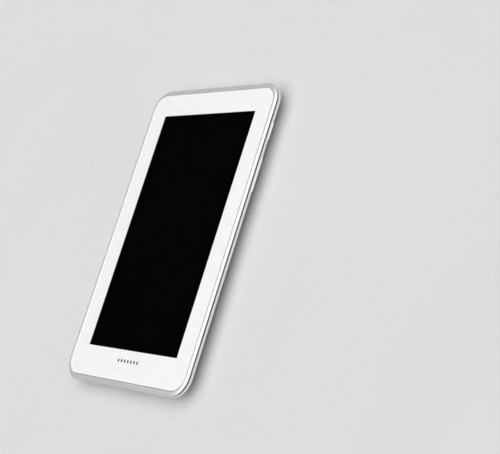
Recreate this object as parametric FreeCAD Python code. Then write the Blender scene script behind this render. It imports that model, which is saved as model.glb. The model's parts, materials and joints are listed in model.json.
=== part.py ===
"""A 7-inch tablet computer: white glass front, silver rim, white hull-shaped back shell.

Frame: +X to the right of the screen, +Y to its top, +Z out of the screen. The tablet lies on its back:
the origin is the middle of the flat back, and the glass is the highest face. Millimetres throughout.

Every piece is built by its own function and written to parts/NAME.step.
An "inset" is a distance inwards from the tablet's outline, and a section is drawn as (inset, height).
"""

import FreeCAD, Part
import math
import os

V = FreeCAD.Vector
X_AXIS = V(1, 0, 0)
Y_AXIS = V(0, 1, 0)
Z_AXIS = V(0, 0, 1)

# ---- driving dimensions -------------------------------------------------------------------------
BODY_HX = 61.2            # half width
BODY_HY = 96.85           # half length
CORNER_R = 13.0
THICKNESS = 10.5

SCREEN_HX = 45.0          # visible picture area of a 7-inch 1024 x 600 panel
SCREEN_HY = 76.8
SCREEN_CY = 2.25          # the picture sits a little above the middle

MARK_Y = -81.2            # a row of printed pills stands below the picture
MARK_COUNT = 7
MARK_PITCH = 3.2
MARK_PILL = (0.75, 1.05, 0.7)   # half width, half height, corner radius

POCKET_HX = 59.0          # opening in the rim that takes the glass
POCKET_HY = 93.75
POCKET_R = 10.0
SEAM = 0.05               # gap between the glass and the rim
GLASS_T = 0.9
GLASS_BEVEL = 0.2
INK_GAP = 0.1             # from the rim to the ink's edge

# room between pieces
FIT = 0.05                # all round a piece that sits in a hole
PIN_RUN = 0.04            # radial running clearance on a pin
ROOM = 0.4                # between an inner part and an opening that lets it through
THROUGH = 0.5             # how far a cut goes past the wall that it opens

# back shell: an upright wall, a knee, a slope and a heel that runs into the flat back
SHELL_WALL = 1.2
SHELL_TOP = 8.42
SHELL_EDGE_R = 0.2
SLOPE = math.radians(35.0)
KNEE_Z = 6.8
KNEE_R = 2.0
HEEL_R = 7.0
FLAT_INSET = 12.5         # the back is flat from here inwards

# rim section: a quarter-ellipse crown that the glass pocket cuts short on the long sides
CROWN_W = 3.6
CROWN_DROP = 0.75
RIM_EDGE_Z = 9.62
RIM_UNDER_Z = 9.42
RIM_LIP = 0.55            # width of the sloping underside of the rim's edge
RIM_SKIRT_Z = 8.15
SKIRT_INSET = 1.25
SKIRT_T = 1.0
GASKET_INSET = 0.5
SHELF_Z = (8.8, 9.4)
SHELF_INSET = 6.8

# heights of the stack, from the glass down
MARK_Z = (9.56, 9.59)
PRINT_Z = (9.50, 9.56)
TOUCH_Z = (9.32, 9.48)
PANEL_Z = (8.0, 9.28)
LIGHT_Z = (6.4, 7.95)
TRAY_Z = (6.05, 9.0)
FRAME_Z = (5.2, 6.0)      # floor plate of the middle frame
FRAME_TOP = 8.72
FLEX_T = 0.12
FLEX_Z = (5.02, 5.14)     # flat cables run between the battery and the middle frame
BATTERY_Z = (1.35, 5.0)
BOARD_Z = (3.4, 4.2)

# display and middle frame
ADHESIVE_INSETS = (4.2, 6.4)
TOUCH_HX = 50.0
TOUCH_HY = 82.0
TOUCH_CY = 1.5
PANEL_HX = 48.0
PANEL_Y = (-81.55, 81.65)
LIGHT_OVER = 0.25         # how far the backlight and the tray reach past the panel on each side
TRAY_OVER = 0.75
TRAY_SHEET = 0.3
FRAME_INSET = 5.5
FRAME_WALL = 1.2
STANDOFF_R = 1.6

# side keys: length along Y, middle, and the travel that they are given room for
POWER_KEY = (11.0, 66.55)
ROCKER = (21.6, 39.05)
KEY_Z = (6.7, 7.9)
KEY_PROUD = 0.4
KEY_GAP = 0.1
KEY_CORNER_R = 0.45
KEY_EDGE_R = 0.15
KEY_OUT_X = 65.0          # the bars that keys are cut from reach this far out
KEY_IN_X = 55.0
ROCKER_END_GAP = 0.2
ROCKER_PRESS_Y = 8.0      # where the rocker presses its switches, from its middle
FLANGE_X = (57.0, 57.9)
FLANGE_OVER = 0.8
NUB_HALF = 0.9
NUB_T = 0.1
NUB_Z = (6.8, 7.8)
ROCKER_PIN_X = 57.65
ROCKER_PIN_R = 0.35
ROCKER_PIN_Z = (5.9, 8.7)
KNUCKLE_WALL = 0.4
EAR_X = (56.8, 58.6)      # ears of the rim and the shell that hold the rocker's pin
EAR_HALF_Y = 1.2
SHELL_EAR_Z = (5.3, 6.5)
SWITCH_X = (56.1, 56.5)
SWITCH_HALF_Y = 1.6
SWITCH_Z = (6.6, 7.95)
DOME_R = 0.5
DOME_T = 0.07

# card door on the left side, hinged along its lower edge, and the socket behind it
DOOR_Y = (38.0, 50.5)
DOOR_TOP_Z = 7.8
DOOR_GAP = 0.12
HINGE_Z = 5.0             # height where the hinge meets the outer slope
KNUCKLE_R = 0.6
HINGE_PIN_R = 0.3
HINGE_PIN_OVER = 1.1      # how far the pin goes into the shell at each end
NAIL_NOTCH_R = 1.6
CARD_SOCKET = (-55.0, -41.4, 37.0, 51.5)
CARD_SOCKET_TOP = 5.8
CARD_WAY = (-56.0, -42.0, 38.6, 49.8)
CARD_WAY_Z = (4.7, 5.5)

# ports on the top and bottom edges
JACK_X = 33.0
JACK_Z = 4.1
JACK_BORE_R = 1.8
JACK_BACK_Y = 77.4
JACK_BOTTOM_Y = 77.9      # the bore takes a full-length plug
JACK_FRONT_Y = 86.8
JACK_NOSE_R = 2.9
JACK_HX = 3.8
JACK_BODY_Z = (1.6, 6.02)
USB_Z = 3.7
USB_MOUTH_Y = -90.0
USB_FLOOR_Y = -84.9
USB_BACK_Y = -84.4
USB_OPENING = (8.6, 3.4, 1.5)   # width, height, corner radius
USB_SHELL = (7.8, 2.7, 0.8)
USB_HOLLOW = (7.0, 1.9, 0.55)
USB_TONGUE_HX = 2.1
USB_TONGUE_HALF_T = 0.3
USB_TONGUE_BACK = 0.8     # how far the tongue stands back from the mouth
MIC_X = 12.0
MIC_Y = -86.2
MIC_HOLE_R = 0.5
SLOT_COUNT = 9
SLOT_PITCH = 1.9
SLOT_FIRST_X = 25.5
SLOT_Z = 3.65
SLOT = (1.0, 2.5, 0.45)   # width, height, corner radius
BOTTOM_CUT_Y = (-100.0, -86.0)
TOP_CUT_Y = (86.0, 100.0)

# boards, battery and speakers, as (x0, x1, y0, y1)
MAIN_BOARD = (-42.0, 44.0, 38.0, 84.0)
CARD_TAB = (-53.4, -41.0, 37.5, 51.0)   # the tongue of the main board under the card socket
IO_BOARD = (-20.0, 20.0, -88.0, -66.0)
PROCESSOR_SHIELD = (-15.0, 24.0, 50.0, 70.0)
RADIO_SHIELD = (-9.0, 14.0, 72.0, 82.0)
SHIELD_TOP = 5.1
SHIELD_SHEET = 0.15
BATTERY = (-43.0, 43.0, -58.0, 31.0)
BATTERY_CORNER_R = 3.0
BATTERY_EDGE_R = 0.9
BATTERY_BOARD = (-30.0, 14.0, 31.3, 34.3)
BATTERY_BOARD_Z = (2.4, 4.6)
TAPE_X = 26.0
TAPE_HX = 9.0
TAPE_Y = (-50.0, 24.0)
TAPE_Z = (1.22, 1.33)
SPEAKER_X = (23.0, 44.5)
SPEAKER_Y = (-84.0, -66.0)
SPEAKER_Z = (1.4, 4.9)
SPEAKER_R = 0.8
MESH_X = (24.4, 41.8)
MESH_Z = (2.2, 5.1)
MESH_DEPTHS = (0.03, 0.28)      # under the inside of the shell

# flat cables
SOCKET_Y = 42.0           # middle of the row of sockets on the main board
SOCKET_END_Y = 42.5
LEAD_X = (-26.0, -18.0)
BOARD_FLEX_X = (21.0, 31.0)
BOARD_FLEX_FOOT_X = (12.0, 31.0)
BOARD_FLEX_FOOT_Y = (-67.8, -60.0)
BOARD_FLEX_RISER_X = (12.0, 20.0)
DISPLAY_FLEX_HX = 11.0
DISPLAY_FLEX_Y = -82.6    # it comes down in front of the display's tray
DISPLAY_FLEX_EXIT_Z = 8.3
TOUCH_FLEX_X = (-7.0, 3.0)
TOUCH_FLEX_Y = 84.0       # it comes down behind the tray
TOUCH_FLEX_EXIT_Z = 9.34
KEY_FLEX_X = 55.95
KEY_FLEX_Y = (28.5, 72.5)
KEY_FLEX_TAIL_Y = (52.6, 56.4)
KEY_FLEX_END_X = 43.0
KEY_FLEX_Z = (6.5, 8.0)

# rear camera
CAMERA = (-20.0, 76.0)
CAMERA_RING_R = 4.9
CAMERA_RING_Z = 0.05      # the ring lies a little under the flat back
CAMERA_RING_CHAMFER = 0.35
CAMERA_LENS_R = 3.2
CAMERA_LENS_Z = (0.3, 0.83)
CAMERA_LEDGE_Z = 0.85
CAMERA_BORE_R = 2.8
CAMERA_GASKET_R = 4.1
CAMERA_GASKET_Z = (1.25, 1.45)
CAMERA_NOSE_R = 3.0
CAMERA_NOSE_Z = 1.5
CAMERA_BODY_HALF = 4.3
CAMERA_BODY_Z = (2.2, 4.9)

# aerials along the top edge
AERIAL_Y = (85.2, 88.0)
AERIAL_Z = (2.8, 4.6)
WIFI_X = (-45.0, -30.0)
GPS_X = (7.0, 20.0)

# fasteners
CASE_SCREWS_RIGHT = [(47.0, 80.0), (46.5, 34.5), (46.5, -61.0), (47.0, -80.0)]
CASE_SCREWS = CASE_SCREWS_RIGHT + [(-x, y) for x, y in CASE_SCREWS_RIGHT]
BOARD_SCREWS = [(-38.5, 80.5), (41.0, 80.5), (-38.5, 55.5), (41.0, 41.5)]
IO_SCREWS = [(-17.0, -70.0), (17.0, -70.0)]
CASE_HEAD_R = 1.35
CASE_HEAD_Z = (5.55, 5.98)
CASE_THREAD_R = 0.7
CASE_THREAD_Z = 2.5       # where the tip of the thread is
BOSS_R = 2.0
BOARD_HEAD_R = 1.3
BOARD_HEAD_Z = (3.4, 2.95)
BOARD_THREAD_R = 0.6
BOARD_THREAD_Z = 5.5
RECESS_DEPTH = 0.25
RECESS_W = 0.24


# ---- drawing helpers ----------------------------------------------------------------------------
def box(x0, x1, y0, y1, z0, z1):
    return Part.makeBox(x1 - x0, y1 - y0, z1 - z0, V(x0, y0, z0))


def block(x, y, width, length, z0, z1):
    """A box that is centred on x and y."""
    return box(x - width / 2, x + width / 2, y - length / 2, y + length / 2, z0, z1)


def cylinder(r, x, y, z0, z1):
    return Part.makeCylinder(r, z1 - z0, V(x, y, z0), Z_AXIS)


def cylinder_y(r, x, z, y0, y1):
    return Part.makeCylinder(r, y1 - y0, V(x, y0, z), Y_AXIS)


def join(shapes):
    """One clean solid from touching or overlapping shapes."""
    return shapes[0].fuse(shapes[1:]).removeSplitter()


def upright_edges(shape):
    return [e for e in shape.Edges if e.BoundBox.DiagonalLength - e.BoundBox.ZLength < 1e-6]


def rounded_plate(hx, hy, r, z0, z1, cx=0.0, cy=0.0):
    """A flat plate with rounded corners."""
    plate = box(cx - hx, cx + hx, cy - hy, cy + hy, z0, z1)
    return plate.makeFillet(r, upright_edges(plate))


def slot_y(cx, cz, width, height, r, y0, y1):
    """A bar with rounded corners that runs along Y, to cut a port or a sound slot."""
    bar = box(cx - width / 2, cx + width / 2, y0, y1, cz - height / 2, cz + height / 2)
    along = [e for e in bar.Edges if abs(e.Vertexes[0].Y - e.Vertexes[1].Y) > 1e-6]
    return bar.makeFillet(r, along)


def corner_arc(before, corner, after, r):
    """The two tangent points and the middle of the arc that rounds a corner of a section."""
    u = (before - corner).normalize()
    w = (after - corner).normalize()
    half = u.getAngle(w) / 2
    reach = r / math.tan(half)
    centre = corner + (u + w).normalize() * (r / math.sin(half))
    start = corner + u * reach
    end = corner + w * reach
    middle = centre + (corner - centre).normalize() * r
    return start, middle, end


def section(points):
    """A closed face in the XZ plane from (inset, height, corner radius) points, with the outline at X = 0."""
    corners = [V(-inset, 0, z) for inset, z, _ in points]
    edges = []
    count = len(corners)
    joints = []
    for i in range(count):
        r = points[i][2]
        if r > 0:
            joints.append(corner_arc(corners[i - 1], corners[i], corners[(i + 1) % count], r))
        else:
            joints.append((corners[i], None, corners[i]))
    for i in range(count):
        start, middle, end = joints[i]
        if middle is not None:
            edges.append(Part.Arc(start, middle, end).toShape())
        following = joints[(i + 1) % count][0]
        edges.append(Part.makeLine(end, following))
    return Part.Face(Part.Wire(edges))


def swept(face, hx, hy, r):
    """Carries a section all the way round a rectangle with rounded corners."""
    side = face.translated(V(hx, r - hy, 0)).extrude(V(0, 2 * (hy - r), 0))
    end = face.translated(V(hy, 0, 0)).rotated(V(0, 0, 0), Z_AXIS, 90)
    end = end.translated(V(r - hx, 0, 0)).extrude(V(2 * (hx - r), 0, 0))
    corner = face.translated(V(hx, hy - r, 0)).revolve(V(hx - r, hy - r, 0), Z_AXIS, 90)
    ring = [side, end, corner, corner.mirror(V(0, 0, 0), X_AXIS)]
    turned = [piece.rotated(V(0, 0, 0), Z_AXIS, 180) for piece in ring]
    return join(ring + turned)


def slope_inset(z, depth=0.0):
    """Inset of the shell's slope at a height, for a surface that lies depth under the outer one."""
    return (KNEE_Z + depth / math.cos(SLOPE) - z) / math.tan(SLOPE)


def hull(depth, edge_r=0.0):
    """The back shell's outer form as a filled solid, shrunk by depth all over (grown where negative)."""
    knee_z = KNEE_Z + depth * (1 / math.cos(SLOPE) - math.tan(SLOPE))
    points = [
        (depth, SHELL_TOP, edge_r),
        (depth, knee_z, KNEE_R - depth),
        (slope_inset(depth, depth), depth, HEEL_R - depth),
        (FLAT_INSET, depth, 0),
        (FLAT_INSET, SHELL_TOP, 0),
    ]
    edge = swept(section(points), BODY_HX, BODY_HY, CORNER_R)
    return join([edge, inset_plate(FLAT_INSET, depth, SHELL_TOP)])


def inset_plate(inset, z0, z1):
    """A plate that keeps one distance from the tablet's outline."""
    return rounded_plate(BODY_HX - inset, BODY_HY - inset, CORNER_R - inset, z0, z1)


def hinge_axis():
    """(x, z) of the card door's hinge: one knuckle radius under the outer slope."""
    surface_x = -(BODY_HX - slope_inset(HINGE_Z))
    return surface_x + KNUCKLE_R * math.sin(SLOPE), HINGE_Z + KNUCKLE_R * math.cos(SLOPE)


HULL = hull(0.0, SHELL_EDGE_R)
HULL_INSIDE = hull(SHELL_WALL)
HULL_KEYS = hull(-KEY_PROUD)


# ---- glass and display --------------------------------------------------------------------------
def cover_glass():
    top = THICKNESS
    glass = rounded_plate(POCKET_HX - SEAM, POCKET_HY - SEAM, POCKET_R - SEAM, top - GLASS_T, top)
    rim_edges = [e for e in glass.Edges if all(abs(v.Z - top) < 1e-6 for v in e.Vertexes)]
    return glass.makeChamfer(GLASS_BEVEL, rim_edges)


def bezel_print():
    """The white ink border on the underside of the glass."""
    sheet = rounded_plate(POCKET_HX - INK_GAP, POCKET_HY - INK_GAP, POCKET_R - INK_GAP, *PRINT_Z)
    window = box(-SCREEN_HX, SCREEN_HX, SCREEN_CY - SCREEN_HY, SCREEN_CY + SCREEN_HY, *PRINT_Z)
    return sheet.cut(window)


def front_mark():
    """A plain row of printed pills under the picture."""
    pills = []
    for i in range(MARK_COUNT):
        x = (i - (MARK_COUNT - 1) / 2) * MARK_PITCH
        pills.append(rounded_plate(*MARK_PILL, *MARK_Z, cx=x, cy=MARK_Y))
    return Part.makeCompound(pills)


def glass_adhesive():
    """A ring of foam tape between the glass and the rim's shelf."""
    outer, inner = [inset_plate(inset, SHELF_Z[1], PRINT_Z[0]) for inset in ADHESIVE_INSETS]
    return outer.cut(inner)


def touch_sensor():
    return rounded_plate(TOUCH_HX, TOUCH_HY, 1.0, *TOUCH_Z, cy=TOUCH_CY)


def panel_block(over, z0, z1):
    """A block with the panel's outline, grown by over on each side."""
    return box(-PANEL_HX - over, PANEL_HX + over, PANEL_Y[0] - over, PANEL_Y[1] + over, z0, z1)


def lcd_panel():
    return panel_block(0.0, *PANEL_Z)


def backlight():
    return panel_block(LIGHT_OVER, *LIGHT_Z)


def display_frame():
    """The pressed steel tray round the panel and its backlight, open where the flat cable comes out."""
    tray = panel_block(TRAY_OVER, *TRAY_Z)
    inside = panel_block(TRAY_OVER - TRAY_SHEET, TRAY_Z[0] + TRAY_SHEET, TRAY_Z[1])
    gap_hx = DISPLAY_FLEX_HX + 2.0
    gap_low = DISPLAY_FLEX_EXIT_Z - 0.2
    flex_gap = box(-gap_hx, gap_hx, PANEL_Y[0] - 2 * TRAY_OVER, PANEL_Y[0], gap_low, TRAY_Z[1])
    return tray.cut(inside).cut(flex_gap)


# ---- rim, middle frame and back shell -----------------------------------------------------------
def rim():
    """The silver ring round the glass: its crown, its shelf for the glass and its skirt inside the shell."""
    crown_centre = V(-CROWN_W, 0, THICKNESS - CROWN_DROP)
    ellipse = Part.Ellipse(V(0, 0, THICKNESS - CROWN_DROP), V(-CROWN_W, 0, THICKNESS), crown_centre)
    quarter = Part.ArcOfEllipse(ellipse, 0, math.pi / 2).toShape()
    ends = [v.Point for v in quarter.Vertexes]
    outer = min(ends, key=lambda p: p.z)
    inner = max(ends, key=lambda p: p.z)
    corners = [outer] + [
        V(-inset, 0, z)
        for inset, z in (
            (0.0, RIM_EDGE_Z),
            (RIM_LIP, RIM_UNDER_Z),
            (SKIRT_INSET, RIM_UNDER_Z),
            (SKIRT_INSET, RIM_SKIRT_Z),
            (SKIRT_INSET + SKIRT_T, RIM_SKIRT_Z),
            (SKIRT_INSET + SKIRT_T, SHELF_Z[0]),
            (SHELF_INSET, SHELF_Z[0]),
            (SHELF_INSET, SHELF_Z[1]),
            (CROWN_W, SHELF_Z[1]),
        )
    ] + [inner]
    edges = [quarter] + [Part.makeLine(a, b) for a, b in zip(corners, corners[1:])]
    ring = swept(Part.Face(Part.Wire(Part.__sortEdges__(edges))), BODY_HX, BODY_HY, CORNER_R)
    pocket = rounded_plate(POCKET_HX, POCKET_HY, POCKET_R, SHELF_Z[1], THICKNESS)
    ear = rocker_ear(EAR_X[1], RIM_SKIRT_Z, SHELF_Z[0])
    pin_hole = cylinder(ROCKER_PIN_R, ROCKER_PIN_X, ROCKER[1], KEY_Z[1], ROCKER_PIN_Z[1])
    return join([ring.cut(pocket), ear]).cut(pin_hole)


def rocker_ear(x1, z0, z1):
    """One of the two ears that hold the rocker's pin."""
    return box(EAR_X[0], x1, ROCKER[1] - EAR_HALF_Y, ROCKER[1] + EAR_HALF_Y, z0, z1)


def seam_gasket():
    """The dark strip in the groove between the rim and the back shell."""
    outer = inset_plate(GASKET_INSET, SHELL_TOP, RIM_UNDER_Z)
    return outer.cut(inset_plate(SKIRT_INSET, SHELL_TOP, RIM_UNDER_Z))


def frame_openings():
    """Where the sockets and the flat cables pass through the middle frame."""
    low = FRAME_Z[0] - THROUGH
    edge_x = BODY_HX - FRAME_INSET + THROUGH
    edge_y = BODY_HY - FRAME_INSET + THROUGH
    jack_x = (JACK_X - JACK_HX - ROOM, JACK_X + JACK_HX + ROOM)
    card_y = (CARD_SOCKET[2] - ROOM, CARD_SOCKET[3] + ROOM)
    key_y = (KEY_FLEX_TAIL_Y[0] - ROOM, KEY_FLEX_TAIL_Y[1] + ROOM)
    display_x = DISPLAY_FLEX_HX + ROOM
    display_y = (DISPLAY_FLEX_Y - ROOM, DISPLAY_FLEX_Y + FLEX_T + ROOM)
    touch_x = (TOUCH_FLEX_X[0] - ROOM, TOUCH_FLEX_X[1] + ROOM)
    touch_y = (TOUCH_FLEX_Y - ROOM, TOUCH_FLEX_Y + FLEX_T + ROOM)
    return [
        box(*jack_x, JACK_BACK_Y - ROOM, edge_y, low, JACK_Z + JACK_NOSE_R + ROOM),
        box(-edge_x, CARD_SOCKET[1] + ROOM, *card_y, low, DOOR_TOP_Z),
        box(edge_x - THROUGH - FRAME_WALL, edge_x, *key_y, low, KEY_Z[1]),
        box(-display_x, display_x, *display_y, low, FRAME_TOP),
        box(*touch_x, *touch_y, low, FRAME_Z[1]),
    ]


def mid_frame():
    """The inner chassis: a floor plate with a wall round it that carries the rim's shelf."""
    plate = inset_plate(FRAME_INSET, *FRAME_Z)
    wall = inset_plate(FRAME_INSET, FRAME_Z[1], FRAME_TOP).cut(
        inset_plate(FRAME_INSET + FRAME_WALL, FRAME_Z[1], FRAME_TOP)
    )
    board_places = BOARD_SCREWS + IO_SCREWS
    standoffs = [cylinder(STANDOFF_R, x, y, BOARD_Z[1], FRAME_Z[0]) for x, y in board_places]
    frame = join([plate, wall] + standoffs)
    holes = frame_openings()
    for x, y in CASE_SCREWS:
        holes.append(cylinder(CASE_THREAD_R + FIT, x, y, FRAME_Z[0] - THROUGH, FRAME_TOP))
        holes.append(cylinder(CASE_HEAD_R + 2 * FIT, x, y, CASE_HEAD_Z[0], FRAME_TOP))
    holes += [cylinder(BOARD_THREAD_R, x, y, BOARD_Z[1], BOARD_THREAD_Z + 2 * FIT) for x, y in board_places]
    return frame.cut(holes)


def rear_cover():
    """The white back shell, with bosses for the case screws and its openings."""
    shell = HULL.cut(HULL_INSIDE)
    boss_z = (SHELL_WALL - 2 * FIT, FRAME_Z[0] - FIT)
    bosses = [cylinder(BOSS_R, x, y, *boss_z) for x, y in CASE_SCREWS]
    ear = rocker_ear(BODY_HX - SHELL_WALL, *SHELL_EAR_Z).common(hull(SHELL_WALL / 2))
    shell = join([shell, ear] + bosses)
    holes = [cylinder(CASE_THREAD_R, x, y, CASE_THREAD_Z - 0.2, FRAME_Z[1]) for x, y in CASE_SCREWS]
    holes += [key_opening(*POWER_KEY, KEY_GAP), key_opening(*ROCKER, ROCKER_END_GAP)]
    holes += [cylinder(ROCKER_PIN_R, ROCKER_PIN_X, ROCKER[1], ROCKER_PIN_Z[0], KEY_Z[0])]
    holes += [door_opening(), hinge_rod(HINGE_PIN_R, HINGE_PIN_OVER)]
    holes += [cylinder_y(JACK_NOSE_R + FIT, JACK_X, JACK_Z, *TOP_CUT_Y)]
    holes += [slot_y(0.0, USB_Z, *USB_OPENING, *BOTTOM_CUT_Y)]
    holes += [cylinder_y(MIC_HOLE_R, MIC_X, USB_Z, *BOTTOM_CUT_Y)]
    holes += sound_slots()
    holes += [cylinder(CAMERA_RING_R + FIT, *CAMERA, -THROUGH, SHELL_WALL + THROUGH)]
    return shell.cut(holes)


def sound_slots():
    """A row of upright slots on each side of the charging port."""
    slots = []
    for side in (-1, 1):
        for i in range(SLOT_COUNT):
            slots.append(slot_y(side * (SLOT_FIRST_X + SLOT_PITCH * i), SLOT_Z, *SLOT, *BOTTOM_CUT_Y))
    return slots


# ---- keys, card door and what carries them ------------------------------------------------------
def key_opening(length, middle, gap):
    reach = length / 2 + gap
    return box(KEY_IN_X, KEY_OUT_X, middle - reach, middle + reach, KEY_Z[0] - KEY_GAP, KEY_Z[1] + KEY_GAP)


def key_cap(length, middle):
    """The part of a key that shows: it follows the side of the shell, a little proud of it."""
    bar = box(FLANGE_X[1] - 0.01, KEY_OUT_X, middle - length / 2, middle + length / 2, *KEY_Z)
    along_x = [e for e in bar.Edges if abs(e.Vertexes[0].X - e.Vertexes[1].X) > 1e-6]
    cap = bar.makeFillet(KEY_CORNER_R, along_x).common(HULL_KEYS)
    outer_edges = [e for e in cap.Edges if e.CenterOfMass.x > BODY_HX - SHELL_WALL / 2]
    return cap.makeFillet(KEY_EDGE_R, outer_edges)


def key_flange(length, middle):
    reach = length / 2 + FLANGE_OVER
    return box(*FLANGE_X, middle - reach, middle + reach, *KEY_Z)


def key_nub(y):
    """The small pad that presses on a dome switch."""
    return box(FLANGE_X[0] - NUB_T, FLANGE_X[0], y - NUB_HALF, y + NUB_HALF, *NUB_Z)


def power_key():
    length, middle = POWER_KEY
    return join([key_cap(length, middle), key_flange(length, middle), key_nub(middle)])


def volume_rocker():
    length, middle = ROCKER
    knuckle = cylinder(ROCKER_PIN_R + KNUCKLE_WALL, ROCKER_PIN_X, middle, *KEY_Z)
    nubs = [key_nub(middle + step) for step in (-ROCKER_PRESS_Y, ROCKER_PRESS_Y)]
    rocker = join([key_cap(length, middle), key_flange(length, middle), knuckle] + nubs)
    return rocker.cut(cylinder(ROCKER_PIN_R + PIN_RUN, ROCKER_PIN_X, middle, *ROCKER_PIN_Z))


def rocker_pin():
    return cylinder(ROCKER_PIN_R, ROCKER_PIN_X, ROCKER[1], *ROCKER_PIN_Z)


def side_key_flex():
    """A flat cable that stands behind the keys, then turns in under the middle frame."""
    back = SWITCH_X[0]
    strip = box(KEY_FLEX_X, back, *KEY_FLEX_Y, *KEY_FLEX_Z)
    drop = box(KEY_FLEX_X, back, *KEY_FLEX_TAIL_Y, FLEX_Z[0], KEY_FLEX_Z[0])
    tail = box(KEY_FLEX_END_X, back, *KEY_FLEX_TAIL_Y, *FLEX_Z)
    return join([strip, drop, tail])


def key_switches():
    """Three dome switches: one under the power key and one under each end of the rocker."""
    switches = []
    for y in (POWER_KEY[1], ROCKER[1] - ROCKER_PRESS_Y, ROCKER[1] + ROCKER_PRESS_Y):
        case = box(*SWITCH_X, y - SWITCH_HALF_Y, y + SWITCH_HALF_Y, *SWITCH_Z)
        dome = Part.makeCylinder(DOME_R, DOME_T, V(SWITCH_X[1], y, sum(KEY_Z) / 2), X_AXIS)
        switches.append(join([case, dome]))
    return Part.makeCompound(switches)


def door_block(foot_room, room):
    """The card door's outline as a block: foot_room below its hinge line, and room on the other sides."""
    x, z = hinge_axis()
    inwards = V(math.sin(SLOPE), 0, math.cos(SLOPE))
    up_slope = V(-math.cos(SLOPE), 0, math.sin(SLOPE))
    foot = V(x, DOOR_Y[0] - room, z) - up_slope * foot_room
    outer = foot - inwards * 4 * SHELL_WALL
    inner = foot + inwards * 3 * SHELL_WALL
    beyond = up_slope * 10 * SHELL_WALL
    side = Part.Face(Part.makePolygon([outer, outer + beyond, inner + beyond, inner, outer]))
    slab = side.extrude(V(0, DOOR_Y[1] - DOOR_Y[0] + 2 * room, 0))
    near_wall = box(-BODY_HX - 5.0, -BODY_HX + 7.0, 0.0, BODY_HY, 0.0, DOOR_TOP_Z + room)
    return slab.common(near_wall)


def hinge_rod(r, beyond):
    """A round bar on the card door's hinge line, longer than the door by beyond at each end."""
    x, z = hinge_axis()
    return cylinder_y(r, x, z, DOOR_Y[0] - beyond, DOOR_Y[1] + beyond)


def door_opening():
    return door_block(KNUCKLE_R + DOOR_GAP, DOOR_GAP)


def card_door():
    leaf = door_block(0.0, 0.0).common(HULL).cut(HULL_INSIDE)
    door = join([leaf, hinge_rod(KNUCKLE_R, 0.0)])
    notch_at = V(-1.0 - BODY_HX, (DOOR_Y[0] + DOOR_Y[1]) / 2, DOOR_TOP_Z + 0.6)
    return door.cut([hinge_rod(HINGE_PIN_R + PIN_RUN, 1.0), Part.makeSphere(NAIL_NOTCH_R, notch_at)])


def card_door_pin():
    return hinge_rod(HINGE_PIN_R, HINGE_PIN_OVER)


def card_socket():
    return box(*CARD_SOCKET, BOARD_Z[1], CARD_SOCKET_TOP).cut(box(*CARD_WAY, *CARD_WAY_Z))


# ---- boards -------------------------------------------------------------------------------------
def main_board():
    board = join([box(*MAIN_BOARD, *BOARD_Z), box(*CARD_TAB, *BOARD_Z)])
    edge_y = MAIN_BOARD[3] + THROUGH
    camera_y0 = CAMERA[1] - CAMERA_BODY_HALF
    notches = []
    for x, half, y0 in ((JACK_X, JACK_HX, JACK_BACK_Y), (CAMERA[0], CAMERA_BODY_HALF, camera_y0)):
        notches.append(box(x - half - ROOM, x + half + ROOM, y0 - ROOM, edge_y, *BOARD_Z))
    holes = [cylinder(BOARD_THREAD_R + FIT, x, y, *BOARD_Z) for x, y in BOARD_SCREWS]
    return board.cut(notches + holes)


def shield_can(x0, x1, y0, y1):
    """A thin steel lid over the chips, open towards the board."""
    sheet = SHIELD_SHEET
    lid = box(x0, x1, y0, y1, BOARD_Z[1], SHIELD_TOP)
    return lid.cut(box(x0 + sheet, x1 - sheet, y0 + sheet, y1 - sheet, BOARD_Z[1], SHIELD_TOP - sheet))


def processor_shield():
    return shield_can(*PROCESSOR_SHIELD)


def radio_shield():
    return shield_can(*RADIO_SHIELD)


def board_chips():
    """The chips on the side that faces the screen, as (x, y, width, length, height)."""
    chips = [
        (-7.0, 60.0, 12.0, 12.0, 0.7),      # processor
        (6.5, 60.0, 11.5, 13.0, 0.7),       # memory
        (18.0, 60.0, 9.0, 14.0, 0.7),       # storage
        (-25.5, 61.0, 6.0, 6.0, 0.8),       # power
        (-2.0, 77.0, 6.0, 6.0, 0.6),        # Wi-Fi
        (7.5, 77.0, 5.0, 5.0, 0.6),         # satellite receiver
        (33.0, 60.0, 5.0, 5.0, 0.8),        # sound
    ]
    low = BOARD_Z[1]
    return Part.makeCompound([block(*footprint, low, low + height) for *footprint, height in chips])


def board_connectors():
    """Sockets for the flat cables and the battery, as (x, y, width, length)."""
    sockets = [
        (0.0, SOCKET_Y, 22.0, 4.0),         # display
        (26.0, SOCKET_Y, 10.0, 4.0),        # charging board
        (-2.0, 83.0, 10.0, 1.6),            # touch sensor
        (40.5, 54.5, 4.0, 5.0),             # side keys
        (-22.0, 41.5, 9.0, 4.5),            # battery
    ]
    return Part.makeCompound([block(*socket, BOARD_Z[1], FLEX_Z[0]) for socket in sockets])


def row_of_blocks(count, first_x, pitch, y, width, length, low):
    """Blocks in a row under the main board, down to the height low."""
    return [block(first_x + pitch * i, y, width, length, low, BOARD_Z[0]) for i in range(count)]


def board_parts():
    """Coils and capacitors on the side that faces the back."""
    coils = row_of_blocks(6, -32.2, 11.0, 47.8, 3.6, 3.6, 1.9)
    capacitors = row_of_blocks(10, -33.0, 7.0, 54.6, 2.0, 1.2, 2.5)
    return Part.makeCompound(coils + capacitors)


def io_board():
    """The charging board, with a notch that the charging port sinks into."""
    notch_hx = USB_SHELL[0] / 2 + 0.2
    holes = [box(-notch_hx, notch_hx, IO_BOARD[2] - THROUGH, USB_BACK_Y + 0.2, *BOARD_Z)]
    holes += [cylinder(BOARD_THREAD_R + FIT, x, y, *BOARD_Z) for x, y in IO_SCREWS]
    return box(*IO_BOARD, *BOARD_Z).cut(holes)


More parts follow.
